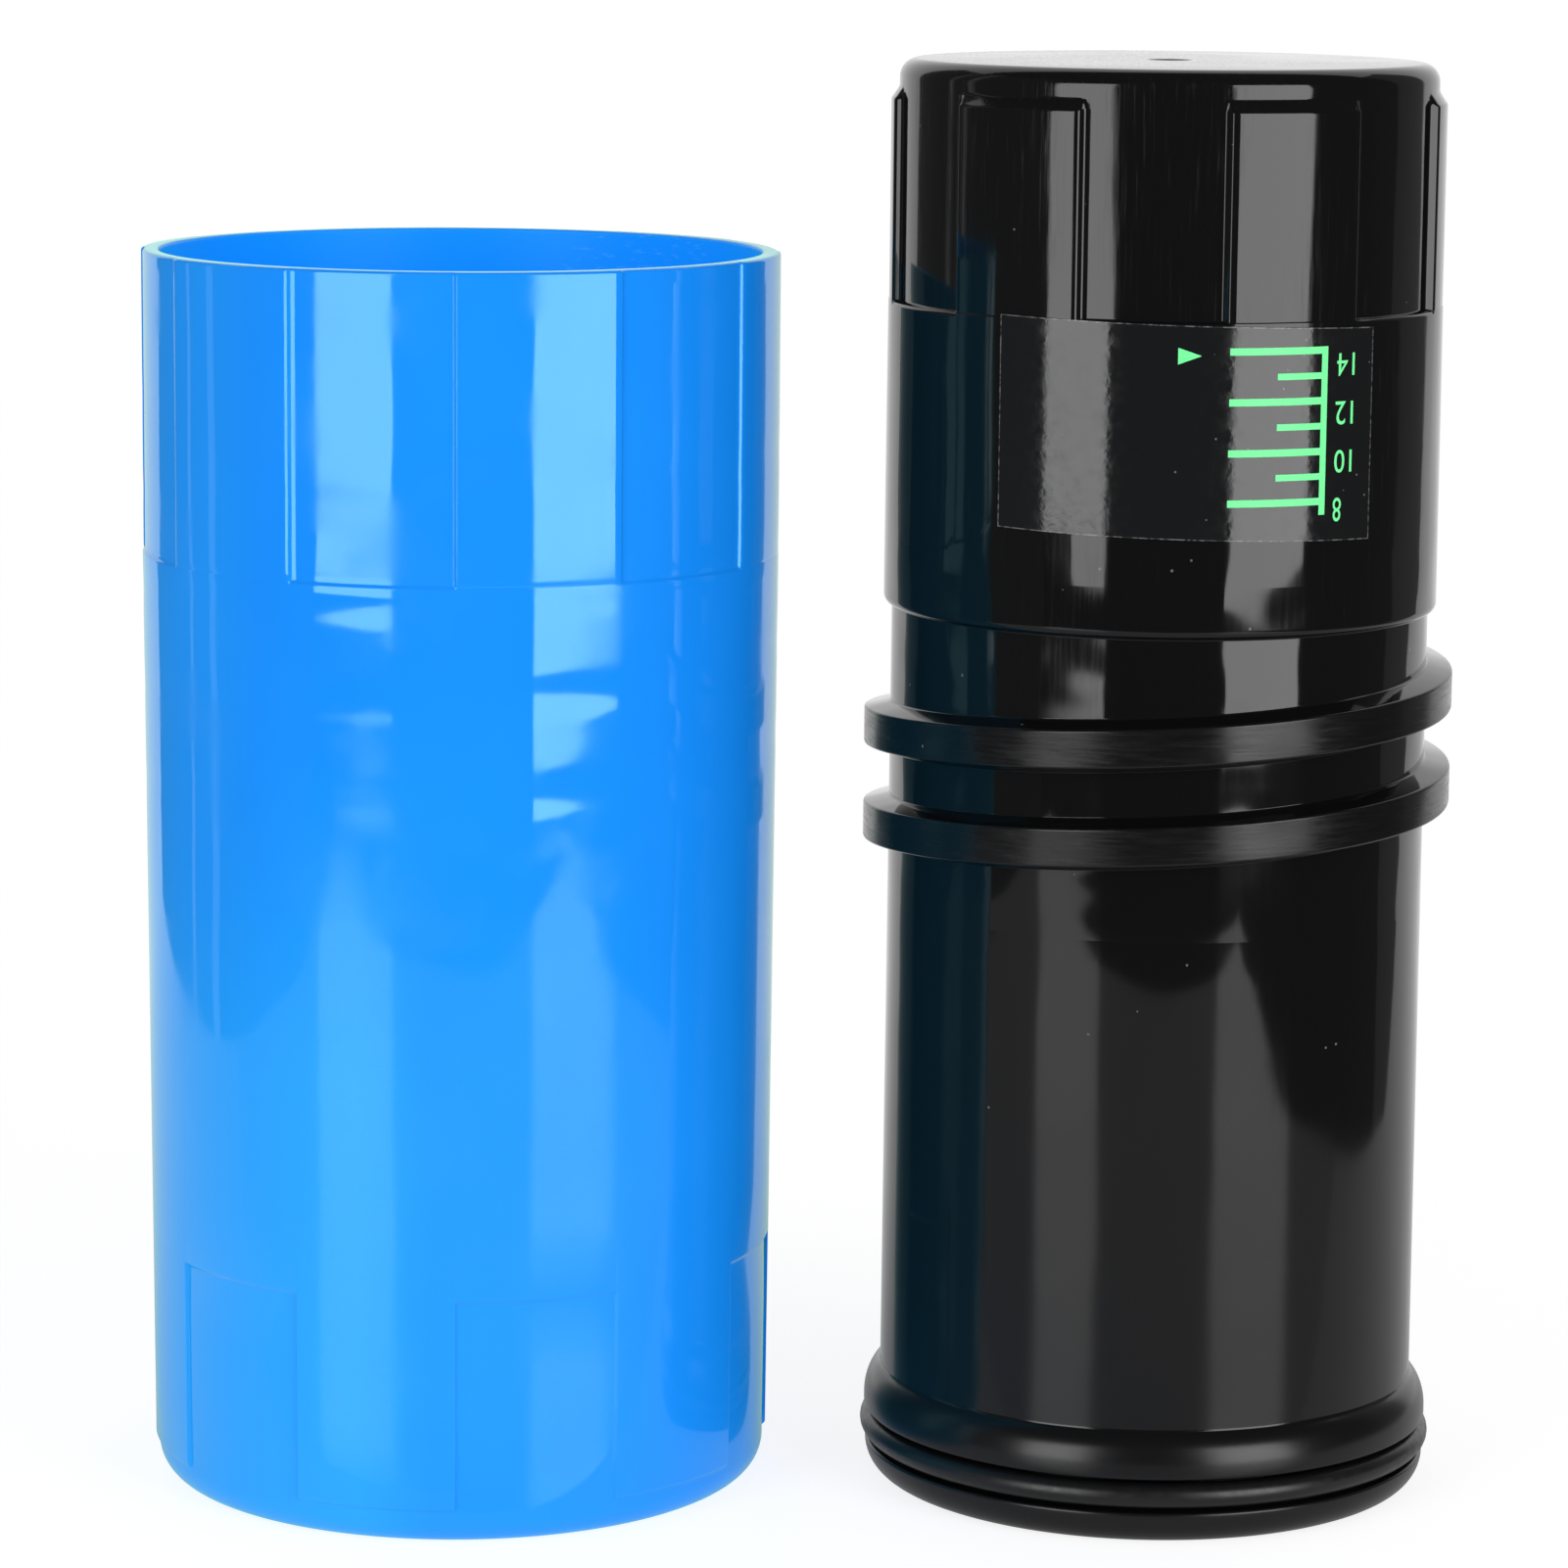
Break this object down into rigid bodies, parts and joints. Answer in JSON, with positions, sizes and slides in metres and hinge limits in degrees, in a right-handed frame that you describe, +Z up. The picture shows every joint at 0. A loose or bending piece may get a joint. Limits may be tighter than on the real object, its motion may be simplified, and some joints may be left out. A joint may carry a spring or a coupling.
{
  "type": "tennis ball pressurizer",
  "caption": "Screw-together ball pressurizer in two halves: an open blue cup and a black ball tube with a coarse thread, a seal ring at its open end and a pressure scale.",
  "frame": {"origin": "on the floor, midway across the width of the two halves as they stand side by side", "axes": "+Z up along both axes, the cup stands at -X and the inner unit at +X, the label on the unit faces -Y"},
  "size_m": [0.1858, 0.09, 0.2036],
  "materials": {
    "blue_plastic": "gloss",
    "black_plastic": "gloss",
    "seal_rubber": "satin",
    "label_film": "satin"
  },
  "bodies": {
    "cup": {"outer_cup": "blue_plastic"},
    "seal": {"seal_ring": "seal_rubber"},
    "unit": {"inner_tube": "black_plastic", "scale_label": "label_film"}
  },
  "joints": [
    {"name": "unit_advance", "type": "slide", "parent": "cup", "child": "seal", "axis": [0, 0, 1], "range_m": [0, 0.0612]},
    {"name": "unit_turn", "type": "hinge", "parent": "seal", "child": "unit", "pos_m": [0.05122, 0, 0], "axis": [0, 0, 1], "range_deg": [0, 1620]}
  ],
  "couplings": [
    {"joint": "unit_advance", "follows": "unit_turn", "m_per_rad": 0.0021645}
  ]
}
